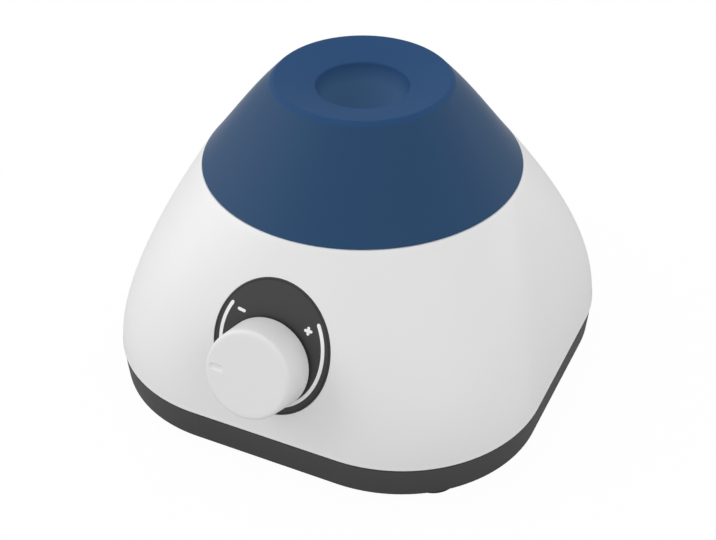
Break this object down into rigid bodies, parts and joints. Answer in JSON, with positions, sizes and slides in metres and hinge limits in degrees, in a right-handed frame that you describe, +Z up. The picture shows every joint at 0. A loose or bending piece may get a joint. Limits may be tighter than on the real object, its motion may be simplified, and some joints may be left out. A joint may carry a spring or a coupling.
{
  "type": "nail polish shaker",
  "caption": "Low square-based desk shaker with rounded corners, a round rubber cup on a conical boot and a speed knob on an oval front dial.",
  "frame": {"origin": "middle of the whole machine's box, at the underside of its feet", "axes": "+Z up along the motor's axis, -Y to the front, where the knob is"},
  "size_m": [0.106, 0.114, 0.0742],
  "materials": {
    "shell_white": "satin white moulded ABS",
    "tray_grey": "fine grained dark grey ABS",
    "foot_rubber": "black rubber",
    "screw_steel": "zinc plated",
    "dial_grey": "dark grey film",
    "pot_phenolic": "moulded phenolic",
    "plated_steel": "nickel plated",
    "shaft_steel": "ground steel",
    "knob_white": "satin white moulded plastic",
    "magnet_ferrite": "sintered ferrite",
    "inner_black": "black moulded plastic",
    "lamination_steel": "stacked laminations",
    "inner_ivory": "natural moulded nylon",
    "hub_brass": "turned",
    "bearing_steel": "ground and polished",
    "boot_blue": "smooth matt silicone rubber",
    "ballast_steel": "zinc phosphated steel plate",
    "board_green": "solder mask",
    "sleeve_navy": "shrink sleeve",
    "sink_aluminium": "extruded",
    "connector_nylon": "moulded nylon",
    "lead_red": "insulated wire",
    "jack_black": "moulded plastic"
  },
  "bodies": {
    "housing": {"upper_shell": "shell_white", "base_tray": "tray_grey", "rubber_feet": "foot_rubber", "case_screws": "screw_steel", "dial_plate": "dial_grey", "pot_body": "pot_phenolic", "pot_washer": "plated_steel", "pot_nut": "plated_steel", "motor_can": "plated_steel", "motor_magnets": "magnet_ferrite", "motor_endcap": "inner_black", "motor_frame": "inner_ivory", "motor_screws": "screw_steel", "frame_grommets": "foot_rubber", "frame_screws": "screw_steel", "boot_skirt": "boot_blue", "boot_clamp_ring": "inner_ivory", "clamp_screws": "screw_steel", "ballast_plate": "ballast_steel", "control_board": "board_green", "board_screws": "screw_steel", "smoothing_capacitor": "sleeve_navy", "power_transistor": "inner_black", "heat_sink": "sink_aluminium", "board_connectors": "connector_nylon", "control_chip": "inner_black", "dc_jack": "jack_black", "jack_nut": "plated_steel", "jack_leads": "lead_red", "motor_leads": "lead_red", "pot_leads": "lead_red"},
    "rotor": {"motor_armature": "lamination_steel", "motor_shaft": "shaft_steel", "eccentric_hub": "hub_brass", "hub_grub_screw": "screw_steel", "crank_pin": "shaft_steel", "pin_clip": "screw_steel", "bearing_inner_race": "bearing_steel", "bearing_balls": "bearing_steel"},
    "cup": {"bearing_outer_race": "bearing_steel", "cup_carrier": "inner_ivory", "cup_pad": "boot_blue"},
    "knob": {"pot_shaft": "shaft_steel", "speed_knob": "knob_white"}
  },
  "joints": [
    {"name": "rotor_spin", "type": "hinge", "parent": "housing", "child": "rotor", "pos_m": [0, 0.00406, 0.045], "axis": [0, 0, 1], "continuous": true, "deforming": ["boot_skirt"]},
    {"name": "cup_orbit", "type": "hinge", "parent": "rotor", "child": "cup", "pos_m": [-0.00085, 0.00587, 0.056], "axis": [0, 0, 1], "continuous": true},
    {"name": "knob_turn", "type": "hinge", "parent": "housing", "child": "knob", "pos_m": [0, -0.04549, 0.02882], "axis": [0, -0.9449, 0.3274], "range_deg": [-45, 225]}
  ],
  "couplings": [
    {"joint": "cup_orbit", "follows": "rotor_spin", "ratio": -1}
  ]
}
